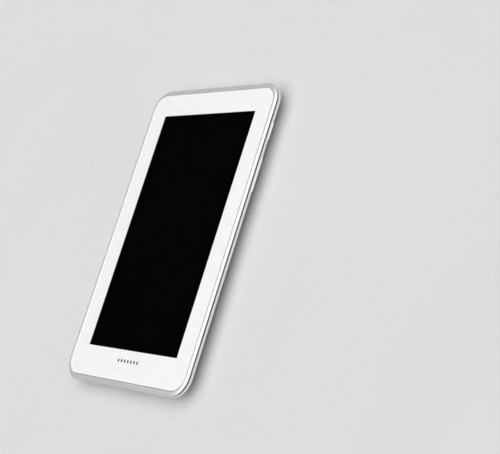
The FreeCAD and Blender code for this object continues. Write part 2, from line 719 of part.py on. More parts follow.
def usb_port():
    """The steel shell of the charging port."""
    shell = slot_y(0.0, USB_Z, *USB_SHELL, USB_MOUTH_Y, USB_BACK_Y)
    return shell.cut(slot_y(0.0, USB_Z, *USB_HOLLOW, USB_MOUTH_Y - THROUGH, USB_FLOOR_Y))


def usb_tongue():
    """The moulded tongue that carries the charging port's contacts."""
    z0, z1 = USB_Z - USB_TONGUE_HALF_T, USB_Z + USB_TONGUE_HALF_T
    return box(-USB_TONGUE_HX, USB_TONGUE_HX, USB_MOUTH_Y + USB_TONGUE_BACK, USB_FLOOR_Y, z0, z1)


def microphone():
    return block(MIC_X, MIC_Y, 3.8, 2.8, 2.4, BOARD_Z[0])


# ---- battery and cables -------------------------------------------------------------------------
def battery():
    cell = box(*BATTERY, *BATTERY_Z)
    cell = cell.makeFillet(BATTERY_CORNER_R, upright_edges(cell))
    flat = [e for e in cell.Edges if abs(e.Vertexes[0].Z - e.Vertexes[-1].Z) < 1e-6]
    return cell.makeFillet(BATTERY_EDGE_R, flat)


def battery_board():
    return box(*BATTERY_BOARD, *BATTERY_BOARD_Z)


def battery_lead():
    """A flat lead from the battery's own board to its socket."""
    start = BATTERY_BOARD[3]
    riser = box(*LEAD_X, start, start + FLEX_T, BATTERY_BOARD_Z[1] - 0.3, FLEX_Z[1])
    run = box(*LEAD_X, start, SOCKET_Y, *FLEX_Z)
    return join([riser, run])


def battery_tape():
    """Two strips that hold the battery to the back shell."""
    return Part.makeCompound([box(x - TAPE_HX, x + TAPE_HX, *TAPE_Y, *TAPE_Z) for x in (-TAPE_X, TAPE_X)])


def board_flex():
    """The flat cable from the main board to the charging board."""
    foot_y0, foot_y1 = BOARD_FLEX_FOOT_Y
    run = box(*BOARD_FLEX_X, foot_y1, SOCKET_END_Y, *FLEX_Z)
    foot = box(*BOARD_FLEX_FOOT_X, foot_y0, foot_y1, *FLEX_Z)
    riser = box(*BOARD_FLEX_RISER_X, foot_y0, foot_y0 + FLEX_T, BOARD_Z[1], FLEX_Z[0])
    return join([run, foot, riser])


def display_flex():
    """From the panel's lower end, down past its tray, and back under the middle frame to the main board."""
    hx = DISPLAY_FLEX_HX
    near = DISPLAY_FLEX_Y
    high = DISPLAY_FLEX_EXIT_Z + FLEX_T
    exit_run = box(-hx, hx, near, PANEL_Y[0] - FIT, DISPLAY_FLEX_EXIT_Z, high)
    drop = box(-hx, hx, near, near + FLEX_T, FLEX_Z[0], high)
    run = box(-hx, hx, near, SOCKET_END_Y, *FLEX_Z)
    return join([exit_run, drop, run])


def touch_flex():
    """From the touch sensor's upper end, down past the tray to the main board."""
    far = TOUCH_FLEX_Y + FLEX_T
    high = TOUCH_FLEX_EXIT_Z + FLEX_T
    exit_run = box(*TOUCH_FLEX_X, TOUCH_CY + TOUCH_HY, far, TOUCH_FLEX_EXIT_Z, high)
    drop = box(*TOUCH_FLEX_X, TOUCH_FLEX_Y, far, FLEX_Z[0], high)
    run = box(*TOUCH_FLEX_X, RADIO_SHIELD[3] + ROOM, far, *FLEX_Z)
    return join([exit_run, drop, run])


# ---- sound, camera and aerials ------------------------------------------------------------------
def mirrored(x_range):
    """A range of x on the left side and the same range on the right side."""
    near, far = x_range
    return [(-far, -near), (near, far)]


def speakers():
    """Two closed boxes, one on each side of the charging port."""
    cases = [box(*x_range, *SPEAKER_Y, *SPEAKER_Z) for x_range in mirrored(SPEAKER_X)]
    return Part.makeCompound([case.makeFillet(SPEAKER_R, upright_edges(case)) for case in cases])


def speaker_meshes():
    """Woven steel behind the sound slots, lying against the inside of the slope."""
    near, far = MESH_DEPTHS
    layer = hull(SHELL_WALL + near).cut(hull(SHELL_WALL + far))
    places = [box(*x_range, -BODY_HY, -80.0, *MESH_Z) for x_range in mirrored(MESH_X)]
    return Part.makeCompound([layer.common(place) for place in places])


def headphone_jack():
    housing = box(JACK_X - JACK_HX, JACK_X + JACK_HX, JACK_BACK_Y, JACK_FRONT_Y, *JACK_BODY_Z)
    nose = cylinder_y(JACK_NOSE_R, JACK_X, JACK_Z, JACK_FRONT_Y - 2 * FIT, TOP_CUT_Y[1])
    jack = join([housing, nose]).common(hull(FIT))
    return jack.cut(cylinder_y(JACK_BORE_R, JACK_X, JACK_Z, JACK_BOTTOM_Y, TOP_CUT_Y[1]))


def camera_module():
    body = block(*CAMERA, 2 * CAMERA_BODY_HALF, 2 * CAMERA_BODY_HALF, *CAMERA_BODY_Z)
    return join([body, cylinder(CAMERA_NOSE_R, *CAMERA, CAMERA_NOSE_Z, CAMERA_BODY_Z[0])])


def camera_gasket():
    outer = cylinder(CAMERA_GASKET_R, *CAMERA, *CAMERA_GASKET_Z)
    return outer.cut(cylinder(CAMERA_NOSE_R + 2 * FIT, *CAMERA, *CAMERA_GASKET_Z))


def camera_ring():
    """The trim ring in the back, which also holds the small window."""
    ring = cylinder(CAMERA_RING_R, *CAMERA, CAMERA_RING_Z, SHELL_WALL)
    outer = [e for e in ring.Edges if e.BoundBox.ZMax < CAMERA_RING_Z + 1e-6]
    ring = ring.makeChamfer(CAMERA_RING_CHAMFER, outer)
    seat = cylinder(CAMERA_LENS_R, *CAMERA, -THROUGH, CAMERA_LEDGE_Z)
    return ring.cut([seat, cylinder(CAMERA_BORE_R, *CAMERA, 0.0, SHELL_WALL + THROUGH)])


def camera_lens():
    return cylinder(CAMERA_LENS_R - 0.03, *CAMERA, *CAMERA_LENS_Z)


def wifi_antenna():
    return box(*WIFI_X, *AERIAL_Y, *AERIAL_Z)


def gps_antenna():
    return box(*GPS_X, *AERIAL_Y, *AERIAL_Z)


# ---- fasteners ----------------------------------------------------------------------------------
def screw(x, y, head_r, head_z, thread_r, tip_z):
    """A small screw with a cross recess. head_z goes from under the head to its outer face."""
    seat, face = head_z
    head = cylinder(head_r, x, y, *sorted(head_z))
    body = join([head, cylinder(thread_r, x, y, *sorted((seat, tip_z)))])
    floor = face - math.copysign(RECESS_DEPTH, face - seat)
    z0, z1 = sorted((floor, face))
    span = head_r * 1.2
    return body.cut([block(x, y, span, RECESS_W, z0, z1), block(x, y, RECESS_W, span, z0, z1)])


def case_screws():
    """They hold the middle frame to the bosses of the back shell."""
    sizes = (CASE_HEAD_R, CASE_HEAD_Z, CASE_THREAD_R, CASE_THREAD_Z)
    return Part.makeCompound([screw(x, y, *sizes) for x, y in CASE_SCREWS])


def board_screws():
    """They hold the two boards to the standoffs of the middle frame."""
    sizes = (BOARD_HEAD_R, BOARD_HEAD_Z, BOARD_THREAD_R, BOARD_THREAD_Z)
    return Part.makeCompound([screw(x, y, *sizes) for x, y in BOARD_SCREWS + IO_SCREWS])


PIECES = [
    cover_glass, bezel_print, front_mark, glass_adhesive, touch_sensor, lcd_panel, backlight, display_frame,
    rim, seam_gasket, mid_frame, rear_cover,
    power_key, volume_rocker, rocker_pin, side_key_flex, key_switches,
    card_door, card_door_pin, card_socket,
    main_board, processor_shield, radio_shield, board_chips, board_connectors, board_parts,
    io_board, usb_port, usb_tongue, microphone,
    battery, battery_board, battery_lead, battery_tape, board_flex, display_flex, touch_flex,
    speakers, speaker_meshes, headphone_jack,
    camera_module, camera_gasket, camera_ring, camera_lens, wifi_antenna, gps_antenna,
    case_screws, board_screws,
]


def main():
    os.makedirs("parts", exist_ok=True)
    for piece in PIECES:
        shape = piece()
        if not shape.isValid() or not shape.Solids:
            print("not a valid solid:", piece.__name__)
        shape.exportStep(os.path.join("parts", piece.__name__ + ".step"))
        print(f"{piece.__name__}: {len(shape.Solids)} solid(s), {shape.Volume / 1000:.3f} cm3")


main()
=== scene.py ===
"""Looks for a slim white tablet computer, lying on its back on a pale floor.

Everything is in metres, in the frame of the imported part: +X to the right of the screen, +Y to its top,
+Z out of the screen. Colours are linear. Noise scales are per metre, so 1000 gives features of about 1 mm.
The studio comes first, then the materials, and then the few small pieces that the CAD model leaves out.
"""

import json
import math

import bmesh
import bpy
from mathutils import Matrix, Vector


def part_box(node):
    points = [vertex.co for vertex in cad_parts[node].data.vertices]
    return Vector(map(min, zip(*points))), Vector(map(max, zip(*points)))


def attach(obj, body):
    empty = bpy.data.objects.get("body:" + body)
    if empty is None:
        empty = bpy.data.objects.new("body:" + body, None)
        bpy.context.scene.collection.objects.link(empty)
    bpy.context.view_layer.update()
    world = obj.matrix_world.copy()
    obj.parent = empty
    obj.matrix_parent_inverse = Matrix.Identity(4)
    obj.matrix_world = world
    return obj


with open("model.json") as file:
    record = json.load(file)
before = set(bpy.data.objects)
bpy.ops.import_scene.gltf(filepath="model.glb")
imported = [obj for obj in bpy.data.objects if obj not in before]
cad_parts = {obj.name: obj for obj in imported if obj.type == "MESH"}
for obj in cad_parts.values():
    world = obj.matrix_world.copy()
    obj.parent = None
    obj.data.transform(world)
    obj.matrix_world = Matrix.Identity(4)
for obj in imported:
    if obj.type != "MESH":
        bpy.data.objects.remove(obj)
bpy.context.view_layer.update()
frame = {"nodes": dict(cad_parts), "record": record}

MM = 0.001
NODES = frame["nodes"]
MOUNTS = {mount["name"]: mount for mount in frame["record"]["mounts"]}

# ---- studio ---------------------------------------------------------------------------------------
CAMERA_AT = Vector((0.67065, -0.16023, 0.47699))
CAMERA_LOOKS_AT = Vector((0.07384, 0.00585, 0.0105))
CAMERA_ROLL = math.radians(63.087)
CAMERA_LENS = 99.188
CAMERA_CLIPS = (0.01, 50.0)
SENSOR_WIDTH = 36.0

# Angles are those at which a patch of light starts to fade, and is gone.
DOME_LIGHT = 2.0
DOME_TOWARDS = (0.176, 0.0, 1.0)        # the dome leans 10 degrees to the right
DOME_ANGLES = math.radians(46.0), math.radians(54.0)
GLOW_LIGHT = 0.8
GLOW_TOWARDS = (1.0, 0.176, 0.1)
GLOW_ANGLES = math.radians(4.0), math.radians(17.0)
HORIZON_LIGHT = 0.74
HORIZON_BAND = (0.12, 0.26)             # sine of the height where the band starts to fade, and is gone
FLOOR_HALF = 12.0
FLOOR_DROP = 0.02 * MM
FLOOR_COLOURS = ((0.62, 0.62, 0.62), (0.605, 0.605, 0.605))


def make_camera():
    """A long lens from the right of the tablet, turned so that its top edge is at the top of the picture."""
    data = bpy.data.cameras.new("camera")
    data.lens = CAMERA_LENS
    data.sensor_fit = "HORIZONTAL"
    data.sensor_width = SENSOR_WIDTH
    data.clip_start, data.clip_end = CAMERA_CLIPS
    camera = bpy.data.objects.new("camera", data)
    bpy.context.scene.collection.objects.link(camera)
    aim = (CAMERA_LOOKS_AT - CAMERA_AT).to_track_quat("-Z", "Y").to_matrix().to_4x4()
    camera.matrix_world = Matrix.Translation(CAMERA_AT) @ aim @ Matrix.Rotation(-CAMERA_ROLL, 4, "Z")
    bpy.context.scene.camera = camera


def make_world():
    """A studio tent: a bright dome overhead, a soft glow at the right, and a pale band round the horizon.

    The rest is black. The glass mirrors it into the picture, so the screen reads black.
    """
    world = bpy.data.worlds.new("studio")
    world.use_nodes = True
    tree = world.node_tree
    direction = tree.nodes.new("ShaderNodeTexCoord").outputs["Generated"]
    band = between(tree, axis_of(tree, direction, "Z"), HORIZON_LIGHT, 0.0, *HORIZON_BAND)
    dome = patch(tree, direction, DOME_TOWARDS, DOME_LIGHT, *DOME_ANGLES)
    glow = patch(tree, direction, GLOW_TOWARDS, GLOW_LIGHT, *GLOW_ANGLES)
    background = tree.nodes["Background"]
    background.inputs["Color"].default_value = (1.0, 1.0, 1.0, 1.0)
    light = maths(tree, "ADD", maths(tree, "ADD", band, dome), glow)
    tree.links.new(light, background.inputs["Strength"])
    bpy.context.scene.world = world


def patch(tree, direction, middle, light, inner, outer):
    """A round patch of light, full up to the inner angle from its middle, and gone at the outer one."""
    aligned = tree.nodes.new("ShaderNodeVectorMath")
    aligned.operation = "DOT_PRODUCT"
    tree.links.new(direction, aligned.inputs[0])
    aligned.inputs[1].default_value = Vector(middle).normalized()
    return between(tree, aligned.outputs["Value"], 0.0, light, math.cos(outer), math.cos(inner))


def make_floor():
    """A wide sheet of pale paper, a hair below the tablet's back."""
    square = ((-1, -1), (1, -1), (1, 1), (-1, 1))
    corners = [(x * FLOOR_HALF, y * FLOOR_HALF, -FLOOR_DROP) for x, y in square]
    mesh = bpy.data.meshes.new("floor")
    mesh.from_pydata(corners, [], [(0, 1, 2, 3)])
    floor = bpy.data.objects.new("floor", mesh)
    bpy.context.scene.collection.objects.link(floor)
    material, tree, shader = new_material("floor_paper")
    set_values(shader, specular=0.2)
    vary_colour(tree, shader, *FLOOR_COLOURS, scale=6.0)
    vary_roughness(tree, shader, 0.75, 0.9, scale=400.0)
    mesh.materials.append(material)


# ---- node building blocks -------------------------------------------------------------------------
UNSTRETCHED = (1.0, 1.0, 1.0)
MIX_FACTOR, MIX_FIRST, MIX_SECOND, MIX_RESULT = 0, 6, 7, 2      # the Mix node's sockets for colours
SHADER_INPUTS = {
    "metallic": "Metallic",
    "ior": "IOR",
    "coat": "Coat Weight",
    "coat_roughness": "Coat Roughness",
    "transmission": "Transmission Weight",
    "specular": "Specular IOR Level",
    "specular_tint": "Specular Tint",
}


def new_material(name):
    """A material with its node tree and its Principled shader."""
    material = bpy.data.materials.new(name)
    material.use_nodes = True
    tree = material.node_tree
    return material, tree, tree.nodes["Principled BSDF"]


def connect(tree, value, socket):
    """Feeds a socket from another socket, or sets it to a plain number or colour."""
    if isinstance(value, bpy.types.NodeSocket):
        tree.links.new(value, socket)
    elif isinstance(value, tuple):
        socket.default_value = (*value, 1.0)
    else:
        socket.default_value = value


def point_of(tree, stretch=UNSTRETCHED):
    """The point on the surface in the part's own frame, stretched along the axes."""
    mapping = tree.nodes.new("ShaderNodeMapping")
    mapping.inputs["Scale"].default_value = stretch
    tree.links.new(tree.nodes.new("ShaderNodeTexCoord").outputs["Object"], mapping.inputs["Vector"])
    return mapping.outputs["Vector"]


def axis_of(tree, vector, axis):
    parts = tree.nodes.new("ShaderNodeSeparateXYZ")
    tree.links.new(vector, parts.inputs["Vector"])
    return parts.outputs[axis]


def maths(tree, operation, first, second=0.0):
    node = tree.nodes.new("ShaderNodeMath")
    node.operation = operation
    connect(tree, first, node.inputs[0])
    connect(tree, second, node.inputs[1])
    return node.outputs["Value"]


def noise(tree, scale, detail=2.0, stretch=UNSTRETCHED):
    """Cloudy noise, mostly between 0.3 and 0.7."""
    texture = tree.nodes.new("ShaderNodeTexNoise")
    texture.inputs["Scale"].default_value = scale
    texture.inputs["Detail"].default_value = detail
    tree.links.new(point_of(tree, stretch), texture.inputs["Vector"])
    return texture.outputs["Fac"]


def ripple(tree, axis, pitch):
    """A sine wave along one axis, from -1 to 1."""
    along = axis_of(tree, point_of(tree), axis)
    return maths(tree, "SINE", maths(tree, "MULTIPLY", along, 2 * math.pi / pitch))


def dots(tree, pitch):
    """Distance from a square grid of points seen from above, in steps of the pitch."""
    texture = tree.nodes.new("ShaderNodeTexVoronoi")
    texture.voronoi_dimensions = "2D"
    texture.inputs["Scale"].default_value = 1.0 / pitch
    texture.inputs["Randomness"].default_value = 0.0
    tree.links.new(point_of(tree), texture.inputs["Vector"])
    return texture.outputs["Distance"]


def flakes(tree, size):
    """A random number for each small cell."""
    texture = tree.nodes.new("ShaderNodeTexVoronoi")
    texture.inputs["Scale"].default_value = 1.0 / size
    tree.links.new(point_of(tree), texture.inputs["Vector"])
    return axis_of(tree, texture.outputs["Color"], "X")


def between(tree, factor, low, high, start=0.35, end=0.65):
    """A number that goes from low to high as factor goes from start to end."""
    ramp = tree.nodes.new("ShaderNodeMapRange")
    ramp.inputs["From Min"].default_value = start
    ramp.inputs["From Max"].default_value = end
    ramp.inputs["To Min"].default_value = low
    ramp.inputs["To Max"].default_value = high
    tree.links.new(factor, ramp.inputs["Value"])
    return ramp.outputs["Result"]


def mixed(tree, factor, first, second):
    """A colour between first and second, which are colours or sockets."""
    mix = tree.nodes.new("ShaderNodeMix")
    mix.data_type = "RGBA"
    tree.links.new(factor, mix.inputs[MIX_FACTOR])
    connect(tree, first, mix.inputs[MIX_FIRST])
    connect(tree, second, mix.inputs[MIX_SECOND])
    return mix.outputs[MIX_RESULT]


def vary_colour(tree, shader, first, second, scale, detail=3.0):
    """Blends two colours softly over the surface."""
    colour = mixed(tree, between(tree, noise(tree, scale, detail), 0.0, 1.0), first, second)
    tree.links.new(colour, shader.inputs["Base Color"])


def vary_roughness(tree, shader, low, high, scale, detail=4.0, stretch=UNSTRETCHED):
    """Lets the roughness wander between low and high."""
    value = between(tree, noise(tree, scale, detail, stretch), low, high, start=0.25, end=0.75)
    tree.links.new(value, shader.inputs["Roughness"])


def add_bump(tree, shader, height, depth):
    """Depth is how far the surface rises, in metres, as height goes from 0 to 1."""
    bump = tree.nodes.new("ShaderNodeBump")
    bump.inputs["Distance"].default_value = depth
    tree.links.new(height, bump.inputs["Height"])
    tree.links.new(bump.outputs["Normal"], shader.inputs["Normal"])


def set_values(shader, **values):
    """Sets numbers that are the same all over the surface."""
    for key, value in values.items():
        shader.inputs[SHADER_INPUTS[key]].default_value = value


# ---- glass, ink and screen ------------------------------------------------------------------------
ELECTRODE_PITCH = 5.0 * MM
ELECTRODE_CREST = (0.985, 1.0)          # the top of the sine wave, which shows as a hair-thin wire
COLUMN_PITCH = 0.15 * MM
GUIDE_DOT_PITCH = 0.8 * MM


def glass(name, tint, shade, low, high, scale):
    """Solid glass. Shadow rays, and light that bounces off what lies under it, pass straight through.

    Tint colours what is seen through the glass, and shade the light that falls through it.
    """
    material, tree, shader = new_material(name)
    set_values(shader, transmission=1.0, ior=1.5)
    connect(tree, tint, shader.inputs["Base Color"])
    vary_roughness(tree, shader, low, high, scale=scale)
    rays = tree.nodes.new("ShaderNodeLightPath")
    clear = tree.nodes.new("ShaderNodeBsdfTransparent")
    connect(tree, shade, clear.inputs["Color"])
    surface = shader.outputs["BSDF"]
    for kind in ("Is Shadow Ray", "Is Diffuse Ray"):
        mix = tree.nodes.new("ShaderNodeMixShader")
        tree.links.new(rays.outputs[kind], mix.inputs["Fac"])
        tree.links.new(surface, mix.inputs[1])
        tree.links.new(clear.outputs["BSDF"], mix.inputs[2])
        surface = mix.outputs["Shader"]
    tree.links.new(surface, tree.nodes["Material Output"].inputs["Surface"])
    return material


def clear_glass():
    """Cover glass with faint finger smears."""
    return glass("clear_glass", (0.996, 0.998, 0.997), (0.98, 0.983, 0.981), 0.004, 0.012, scale=60.0)


def dark_lens():
    """The smoked window of the rear camera."""
    return glass("dark_lens", (0.55, 0.55, 0.62), (0.55, 0.55, 0.62), 0.0, 0.01, scale=900.0)


def white_ink():
    """Screen-printed ink: even, with the faint grain of its pigment."""
    material, tree, shader = new_material("white_ink")
    set_values(shader, specular=0.15)
    vary_colour(tree, shader, (0.935, 0.93, 0.918), (0.925, 0.92, 0.908), scale=250.0)
    vary_roughness(tree, shader, 0.42, 0.55, scale=900.0)
    add_bump(tree, shader, noise(tree, 9000.0), depth=1.0e-6)
    return material


def grey_ink():
    """The darker ink of the small mark under the picture."""
    material, tree, shader = new_material("grey_ink")
    set_values(shader, specular=0.15)
    vary_colour(tree, shader, (0.085, 0.08, 0.08), (0.11, 0.105, 0.105), scale=4000.0)
    vary_roughness(tree, shader, 0.45, 0.6, scale=3000.0)
    return material


def black_screen():
    """The film over the switched-off picture, with the fine net of its touch electrodes."""
    material, tree, shader = new_material("black_screen")
    set_values(shader, specular=0.02)
    across = between(tree, ripple(tree, "X", ELECTRODE_PITCH), 0.0, 1.0, *ELECTRODE_CREST)
    along = between(tree, ripple(tree, "Y", ELECTRODE_PITCH), 0.0, 1.0, *ELECTRODE_CREST)
    net = maths(tree, "MAXIMUM", across, along)
    colour = mixed(tree, net, (0.0003, 0.0003, 0.0004), (0.0006, 0.0006, 0.0008))
    tree.links.new(colour, shader.inputs["Base Color"])
    vary_roughness(tree, shader, 0.28, 0.34, scale=60.0)
    return material


def panel_glass():
    """The display cell, with the vertical lines of its columns."""
    material, tree, shader = new_material("panel_glass")
    set_values(shader, coat=0.5, coat_roughness=0.05)
    lines = between(tree, ripple(tree, "X", COLUMN_PITCH), 0.0, 1.0, start=0.2, end=0.9)
    colour = mixed(tree, lines, (0.018, 0.018, 0.022), (0.032, 0.032, 0.04))
    tree.links.new(colour, shader.inputs["Base Color"])
    vary_roughness(tree, shader, 0.10, 0.18, scale=200.0)
    return material


def white_diffuser():
    """The stack of light films, with the dots of the light guide showing faintly."""
    material, tree, shader = new_material("white_diffuser")
    spots = between(tree, dots(tree, GUIDE_DOT_PITCH), 1.0, 0.0, start=0.2, end=0.35)
    colour = mixed(tree, spots, (0.84, 0.85, 0.87), (0.74, 0.76, 0.80))
    tree.links.new(colour, shader.inputs["Base Color"])
    vary_roughness(tree, shader, 0.35, 0.5, scale=500.0)
    return material


# ---- casing ---------------------------------------------------------------------------------------
FLAKE_SIZE = 0.09 * MM
FLAKE_ROUGHNESS = (0.29, 0.36)
HANDLED_DULLING = 0.05                  # added to the roughness where hands hold the rim
RUB_HEIGHT = 1.2 * MM                   # rub marks fade out at this height above the back
RUB_STRETCH = (1.0, 0.03, 1.0)          # they are long hairs along Y
RUB_DULLING = 0.22
RUB_SHADE = 0.94
GLOSS_SPREAD = 0.04


def silver_rim():
    """Pearl silver paint: fine flakes under a clear coat, dulled a little where hands hold it."""
    material, tree, shader = new_material("silver_rim")
    set_values(shader, metallic=0.42, coat=0.3, coat_roughness=0.08)
    sparkle = flakes(tree, FLAKE_SIZE)
    bright = between(tree, sparkle, 0.0, 1.0, start=0.2, end=1.0)
    flaked = mixed(tree, bright, (0.66, 0.66, 0.665), (0.72, 0.72, 0.72))
    worn = between(tree, noise(tree, 60.0, detail=5.0), 0.0, 1.0, start=0.45, end=0.75)
    tree.links.new(mixed(tree, worn, flaked, (0.70, 0.70, 0.70)), shader.inputs["Base Color"])
    grain = between(tree, sparkle, *FLAKE_ROUGHNESS, start=0.0, end=1.0)
    roughness = maths(tree, "ADD", grain, maths(tree, "MULTIPLY", worn, HANDLED_DULLING))
    tree.links.new(roughness, shader.inputs["Roughness"])
    add_bump(tree, shader, noise(tree, 1500.0, detail=3.0), depth=8.0e-7)
    return material


def white_plastic(name, first, second, gloss):
    """Glossy moulded plastic: a slight orange peel, and fine rub marks on the face that it lies on."""
    material, tree, shader = new_material(name)
    set_values(shader, ior=1.5, coat=0.3, coat_roughness=0.04)
    low_down = between(tree, axis_of(tree, point_of(tree), "Z"), 1.0, 0.0, start=0.0, end=RUB_HEIGHT)
    streaks = noise(tree, 2600.0, detail=3.0, stretch=RUB_STRETCH)
    hairs = between(tree, streaks, 0.0, 1.0, start=0.62, end=0.70)
    marks = maths(tree, "MULTIPLY", low_down, hairs)
    clean = mixed(tree, between(tree, noise(tree, 40.0), 0.0, 1.0), first, second)
    dulled = tuple(RUB_SHADE * channel for channel in second)
    tree.links.new(mixed(tree, marks, clean, dulled), shader.inputs["Base Color"])
    smooth = between(tree, noise(tree, 55.0), gloss, gloss + GLOSS_SPREAD, start=0.25, end=0.75)
    roughness = maths(tree, "ADD", smooth, maths(tree, "MULTIPLY", marks, RUB_DULLING))
    tree.links.new(roughness, shader.inputs["Roughness"])
    add_bump(tree, shader, noise(tree, 700.0), depth=2.0e-6)
    return material


def rubber(name, first, second):
    """Moulded rubber or foam, matt with a fine open grain."""
    material, tree, shader = new_material(name)
    set_values(shader, specular=0.3)
    vary_colour(tree, shader, first, second, scale=1500.0)
    vary_roughness(tree, shader, 0.6, 0.85, scale=2500.0)
    add_bump(tree, shader, noise(tree, 6000.0, detail=4.0), depth=8.0e-6)
    return material


def moulded_plastic(name, first, second, low, high):
    """Spark-eroded texture from the mould."""
    material, tree, shader = new_material(name)
    vary_colour(tree, shader, first, second, scale=400.0)
    vary_roughness(tree, shader, low, high, scale=1200.0)
    add_bump(tree, shader, noise(tree, 4500.0, detail=3.0), depth=5.0e-6)
    return material


# ---- metals ---------------------------------------------------------------------------------------
VENT_PITCH = 2.4 * MM
WIRE_PITCH = 0.30 * MM
QUILT_GRAIN = 0.06                      # height of the pouch's fine grain, against its creases


def metal(name, first, second, low, high, stretch=UNSTRETCHED, grain=4000.0):
    """Bare or plated metal. A stretched noise gives it a rolled or brushed grain."""
    material, tree, shader = new_material(name)
    set_values(shader, metallic=1.0)
    vary_colour(tree, shader, first, second, scale=300.0)
    vary_roughness(tree, shader, low, high, scale=grain / 4, detail=5.0, stretch=stretch)
    add_bump(tree, shader, noise(tree, grain, detail=3.0, stretch=stretch), depth=1.5e-6)
    return material


def cast_magnesium():
    """Die-cast chassis: satin skin with flow marks and a coarse grain."""
    material, tree, shader = new_material("grey_magnesium")
    set_values(shader, metallic=0.8)
    vary_colour(tree, shader, (0.44, 0.45, 0.46), (0.33, 0.34, 0.35), scale=90.0, detail=6.0)
    vary_roughness(tree, shader, 0.42, 0.62, scale=500.0)
    add_bump(tree, shader, noise(tree, 1800.0, detail=5.0), depth=1.0e-5)
    return material


def shield_steel():
    """Tinned sheet with a grid of small vent holes, painted near black as the shade inside them."""
    material, tree, shader = new_material("shield_steel")
    set_values(shader, metallic=1.0)
    holes = between(tree, dots(tree, VENT_PITCH), 1.0, 0.0, start=0.16, end=0.19)
    clouds = between(tree, noise(tree, 200.0, detail=4.0), 0.0, 1.0)
    sheet = mixed(tree, clouds, (0.68, 0.68, 0.66), (0.58, 0.58, 0.56))
    # The holes get painted shade: near black in place of the dark inside of each hole.
    tree.links.new(mixed(tree, holes, sheet, (0.02, 0.02, 0.02)), shader.inputs["Base Color"])
    vary_roughness(tree, shader, 0.28, 0.42, scale=900.0, detail=5.0, stretch=(1.0, 0.1, 1.0))
    add_bump(tree, shader, holes, depth=-2.0e-5)
    return material


def pouch_foil():
    """The laminate pouch of the cell: satin, slightly quilted, with creases."""
    material, tree, shader = new_material("pouch_foil")
    set_values(shader, metallic=1.0)
    vary_colour(tree, shader, (0.68, 0.69, 0.70), (0.60, 0.61, 0.62), scale=25.0, detail=4.0)
    vary_roughness(tree, shader, 0.32, 0.48, scale=300.0)
    grain = maths(tree, "MULTIPLY", noise(tree, 700.0), QUILT_GRAIN)
    add_bump(tree, shader, maths(tree, "ADD", noise(tree, 45.0, detail=4.0), grain), depth=1.6e-4)
    return material


def woven_mesh():
    """Steel cloth: wires along two axes, with painted shade in the gaps between them."""
    material, tree, shader = new_material("mesh_steel")
    set_values(shader, metallic=0.9)
    weft = ripple(tree, "X", WIRE_PITCH)
    warp = ripple(tree, "Z", WIRE_PITCH)
    wires = maths(tree, "MAXIMUM", weft, warp)
    # Painted light: the wires are lit, and the gaps and the wire edges beside them are painted near black as
    # shade.
    lit = between(tree, wires, 0.0, 1.0, start=-0.3, end=0.5)
    tree.links.new(mixed(tree, lit, (0.01, 0.01, 0.01), (0.30, 0.30, 0.31)), shader.inputs["Base Color"])
    vary_roughness(tree, shader, 0.35, 0.5, scale=2000.0)
    add_bump(tree, shader, wires, depth=3.0e-5)
    return material


# ---- boards and cables ----------------------------------------------------------------------------
VIA_PITCH = 3.1 * MM
CABLE_TRACK_PITCH = 0.6 * MM
BOARD_TRACK_SCALE = 160.0
BOARD_TRACK_WIDTH = 0.035
BOARD_TRACK_OFFSET = 0.37


def board_laminate():
    """Green solder mask over copper tracks, with bare gilt vias."""
    material, tree, shader = new_material("board_laminate")
    set_values(shader, coat=0.3, coat_roughness=0.2)
    tracks = tree.nodes.new("ShaderNodeTexBrick")
    tracks.offset = BOARD_TRACK_OFFSET
    tracks.inputs["Scale"].default_value = BOARD_TRACK_SCALE
    tracks.inputs["Mortar Size"].default_value = BOARD_TRACK_WIDTH
    connect(tree, (0.015, 0.105, 0.07), tracks.inputs["Color1"])
    connect(tree, (0.02, 0.13, 0.085), tracks.inputs["Color2"])
    connect(tree, (0.045, 0.24, 0.14), tracks.inputs["Mortar"])
    tree.links.new(point_of(tree), tracks.inputs["Vector"])
    vias = between(tree, dots(tree, VIA_PITCH), 1.0, 0.0, start=0.06, end=0.09)
    colour = mixed(tree, vias, tracks.outputs["Color"], (0.62, 0.50, 0.26))
    tree.links.new(colour, shader.inputs["Base Color"])
    vary_roughness(tree, shader, 0.3, 0.42, scale=700.0)
    add_bump(tree, shader, tracks.outputs["Fac"], depth=1.5e-5)
    return material


def amber_film():
    """Flat-cable film with the copper tracks showing through it."""
    material, tree, shader = new_material("amber_film")
    tracks = between(tree, ripple(tree, "X", CABLE_TRACK_PITCH), 0.0, 1.0, start=-0.2, end=0.2)
    colour = mixed(tree, tracks, (0.50, 0.21, 0.04), (0.62, 0.30, 0.09))
    tree.links.new(colour, shader.inputs["Base Color"])
    vary_roughness(tree, shader, 0.22, 0.35, scale=300.0)
    add_bump(tree, shader, tracks, depth=1.0e-5)
    return material


def chip_resin():
    """The dull black moulding of a chip."""
    material, tree, shader = new_material("chip_resin")
    vary_colour(tree, shader, (0.030, 0.030, 0.031), (0.018, 0.018, 0.019), scale=3500.0)
    vary_roughness(tree, shader, 0.5, 0.7, scale=4000.0)
    add_bump(tree, shader, noise(tree, 7000.0, detail=4.0), depth=6.0e-6)
    return material


def ceramic_brown():
    """The speckled sintered bodies of coils and capacitors."""
    material, tree, shader = new_material("ceramic_brown")
    vary_colour(tree, shader, (0.33, 0.23, 0.155), (0.24, 0.16, 0.10), scale=2500.0)
    vary_roughness(tree, shader, 0.45, 0.6, scale=3000.0)
    add_bump(tree, shader, noise(tree, 6000.0, detail=3.0), depth=6.0e-6)
    return material


def coated_lens():
    """The small front lens of the camera, with a violet anti-glare coat."""
    material, tree, shader = new_material("coated_lens")
    set_values(shader, coat=1.0, coat_roughness=0.01, specular_tint=(0.55, 0.35, 1.0, 1.0))
    vary_colour(tree, shader, (0.004, 0.003, 0.010), (0.010, 0.004, 0.020), scale=500.0, detail=2.0)
    vary_roughness(tree, shader, 0.02, 0.06, scale=700.0)
    return material


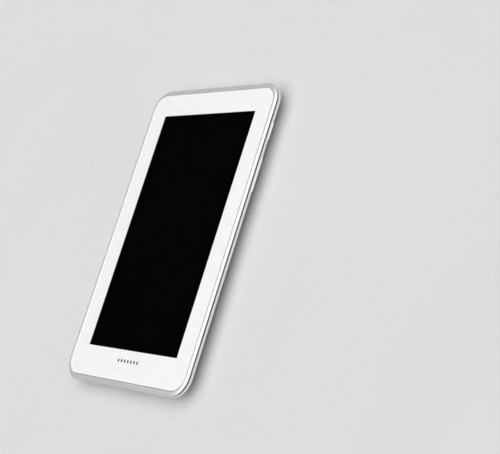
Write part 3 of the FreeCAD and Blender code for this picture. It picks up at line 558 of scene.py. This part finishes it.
# ---- the record's slots ---------------------------------------------------------------------------
SLOT_MATERIALS = {
    "clear_glass": clear_glass,
    "dark_lens": dark_lens,
    "white_ink": white_ink,
    "grey_ink": grey_ink,
    "black_screen": black_screen,
    "panel_glass": panel_glass,
    "white_diffuser": white_diffuser,
    "silver_rim": silver_rim,
    "white_shell": lambda: white_plastic(
        "white_shell", (0.80, 0.796, 0.788), (0.785, 0.781, 0.773), gloss=0.15),
    # The keys are the shell's white plastic painted a lighter white: a painted highlight that sets them off
    # from the shell wall beside them.
    "white_key": lambda: white_plastic(
        "white_key", (0.95, 0.947, 0.94), (0.94, 0.937, 0.93), gloss=0.10),
    "black_adhesive": lambda: rubber("black_adhesive", (0.018, 0.018, 0.018), (0.03, 0.03, 0.03)),
    "black_rubber": lambda: rubber("black_rubber", (0.055, 0.055, 0.058), (0.07, 0.07, 0.073)),
    "black_plastic": lambda: moulded_plastic(
        "black_plastic", (0.020, 0.020, 0.021), (0.030, 0.030, 0.031), low=0.35, high=0.5),
    "ivory_plastic": lambda: moulded_plastic(
        "ivory_plastic", (0.75, 0.70, 0.58), (0.70, 0.65, 0.53), low=0.4, high=0.55),
    "plated_steel": lambda: metal(
        "plated_steel", (0.62, 0.61, 0.59), (0.53, 0.53, 0.52), low=0.22, high=0.38, stretch=(0.1, 1.0, 1.0)),
    "brass_can": lambda: metal(
        "brass_can", (0.82, 0.63, 0.31), (0.72, 0.53, 0.25), low=0.2, high=0.32),
    "ring_chrome": lambda: metal(
        "ring_chrome", (0.76, 0.76, 0.77), (0.71, 0.71, 0.72), low=0.07, high=0.14, grain=9000.0),
    "screw_steel": lambda: metal(
        "screw_steel", (0.25, 0.25, 0.26), (0.17, 0.17, 0.18), low=0.32, high=0.5, grain=7000.0),
    "grey_magnesium": cast_magnesium,
    "shield_steel": shield_steel,
    "pouch_foil": pouch_foil,
    "mesh_steel": woven_mesh,
    "board_laminate": board_laminate,
    "amber_film": amber_film,
    "chip_resin": chip_resin,
    "ceramic_brown": ceramic_brown,
}
MATERIALS = {}


def material_of(slot):
    """The slot's material, made when it is first asked for."""
    if slot not in MATERIALS:
        MATERIALS[slot] = SLOT_MATERIALS[slot]()
    return MATERIALS[slot]


def dress_cad_nodes():
    """Every CAD node gets the material of the record's slot that it names."""
    for part in frame["record"]["subparts"]:
        mesh = NODES[part["node"]].data
        mesh.materials.clear()
        mesh.materials.append(material_of(part["material_slot"]))


# ---- small pieces that the CAD model leaves out ---------------------------------------------------
SHARP_ANGLE = math.radians(35.0)
BEVEL_STEPS = 2
LATHE_STEPS = 48

# Lines and profiles are in mm. A leaf's line is (how far back it lies, how far it rises) along its middle.
SPRING_TURNS = (90.0, 210.0, 330.0)     # places round the bore, in degrees
SPRING_START = 4.5                      # behind the socket's mouth
SPRING_WIDTH = 0.9
SPRING_SHEET = 0.10
SPRING_BEVEL = 0.02
SPRING_LINE = ((0.0, 0.06), (1.2, 0.10), (2.2, 0.34), (3.0, 0.50), (3.8, 0.36), (5.0, 0.10))

CONTACT_COUNT = 5
CONTACT_PITCH = 0.65
CONTACT_WIDTH = 0.36
CONTACT_SHEET = 0.06
CONTACT_BEVEL = 0.01
CONTACT_LINE = ((0.15, 0.02), (0.5, 0.07), (2.8, 0.07), (4.2, 0.05))

# Profiles are (radius, height above the flat back), from the window inwards.
MASK_PROFILE = ((3.14, 0.833), (2.20, 0.833), (2.20, 0.847), (3.14, 0.847))
BARREL_PROFILE = (
    (2.74, 0.88), (2.05, 0.88), (2.05, 1.04), (1.68, 1.04), (1.68, 1.20),
    (1.36, 1.20), (1.36, 1.34), (1.18, 1.34), (1.18, 1.42), (2.74, 1.42),
)
BARREL_BEVEL = 0.02
LENS_PROFILE = ((0.0, 1.10), (0.38, 1.12), (0.72, 1.19), (0.98, 1.29), (1.12, 1.42), (0.0, 1.42))


def add_piece(name, shape, slot, material=None, edge=0.0):
    """Turns a bmesh into a piece of the tablet. Edge is the width of the bevel on its sharp edges, in mm."""
    bmesh.ops.recalc_face_normals(shape, faces=shape.faces)
    mesh = bpy.data.meshes.new(name)
    shape.to_mesh(mesh)
    shape.free()
    piece = bpy.data.objects.new(name, mesh)
    bpy.context.scene.collection.objects.link(piece)
    mesh.materials.append(material or material_of(slot))
    if edge > 0:
        bevel = piece.modifiers.new("edge", "BEVEL")
        bevel.width = edge * MM
        bevel.segments = BEVEL_STEPS
        bevel.limit_method = "ANGLE"
    for face in mesh.polygons:
        face.use_smooth = True
    mesh.set_sharp_from_angle(angle=SHARP_ANGLE)
    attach(piece, "tablet")


def strip(shape, path, width, thickness):
    """A bent leaf of sheet: path is its middle line, and width is a vector across it."""
    rings = []
    for i, point in enumerate(path):
        before = path[max(i - 1, 0)]
        after = path[min(i + 1, len(path) - 1)]
        up = (after - before).cross(width).normalized() * (thickness / 2)
        left, right = point + width / 2, point - width / 2
        corners = [left + up, right + up, right - up, left - up]
        rings.append([shape.verts.new(corner) for corner in corners])
    for near, far in zip(rings, rings[1:]):
        for k in range(4):
            shape.faces.new((near[k], near[(k + 1) % 4], far[(k + 1) % 4], far[k]))
    shape.faces.new(rings[0])
    shape.faces.new(reversed(rings[-1]))


def lathe(shape, profile, centre):
    """Turns a closed profile of (radius, height) points about an upright axis. A radius of 0 is a pole."""
    turns = [2 * math.pi * k / LATHE_STEPS for k in range(LATHE_STEPS)]
    rings = []
    for radius, height in profile:
        if radius == 0:
            rings.append([shape.verts.new(centre + Vector((0, 0, height)))] * LATHE_STEPS)
        else:
            places = [Vector((radius * math.cos(turn), radius * math.sin(turn), height)) for turn in turns]
            rings.append([shape.verts.new(centre + place) for place in places])
    for near, far in zip(rings, rings[1:] + rings[:1]):
        for k in range(LATHE_STEPS):
            after = (k + 1) % LATHE_STEPS
            corners = [near[k], near[after], far[after], far[k]]
            distinct = list(dict.fromkeys(corners))
            if len(distinct) > 2:
                shape.faces.new(distinct)


def make_jack_springs():
    """Three gilt leaf springs in the wall of the headphone socket."""
    mount = MOUNTS["headphone_jack"]
    bore = Vector(mount["pos_m"])
    bore_r = mount["dims"]["r_mm"] * MM
    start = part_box("headphone_jack")[1][1] - SPRING_START * MM
    shape = bmesh.new()
    for degrees in SPRING_TURNS:
        turn = math.radians(degrees)
        outwards = Vector((math.cos(turn), 0.0, math.sin(turn)))
        across = Vector((-math.sin(turn), 0.0, math.cos(turn))) * (SPRING_WIDTH * MM)
        path = []
        for back, rise in SPRING_LINE:
            place = bore + outwards * (bore_r - rise * MM)
            path.append(Vector((place.x, start - back * MM, place.z)))
        strip(shape, path, across, SPRING_SHEET * MM)
    add_piece("jack_springs", shape, "brass_can", edge=SPRING_BEVEL)


def make_port_contacts():
    """Five gilt leaves on the tongue of the charging socket."""
    low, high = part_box("usb_tongue")
    middle_x = (low[0] + high[0]) / 2
    across = Vector((CONTACT_WIDTH * MM, 0.0, 0.0))
    shape = bmesh.new()
    for i in range(CONTACT_COUNT):
        x = middle_x + (i - (CONTACT_COUNT - 1) / 2) * CONTACT_PITCH * MM
        path = [Vector((x, low[1] + back * MM, high[2] + rise * MM)) for back, rise in CONTACT_LINE]
        strip(shape, path, across, CONTACT_SHEET * MM)
    add_piece("port_contacts", shape, "brass_can", edge=CONTACT_BEVEL)


def make_camera_inside():
    """What shows through the camera's window: its black mask, the stepped barrel and the front lens."""
    low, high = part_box("camera_ring")
    centre = Vector(((low[0] + high[0]) / 2, (low[1] + high[1]) / 2, 0.0))
    for name, profile, slot, material, edge in (
        ("window_mask", MASK_PROFILE, "black_plastic", None, 0.0),
        ("lens_barrel", BARREL_PROFILE, "black_plastic", None, BARREL_BEVEL),
        ("front_lens", LENS_PROFILE, "dark_lens", coated_lens(), 0.0),
    ):
        shape = bmesh.new()
        lathe(shape, [(radius * MM, height * MM) for radius, height in profile], centre)
        add_piece(name, shape, slot, material=material, edge=edge)


bpy.context.scene.view_settings.view_transform = "Standard"
make_camera()
make_world()
make_floor()
dress_cad_nodes()
make_jack_springs()
make_port_contacts()
make_camera_inside()
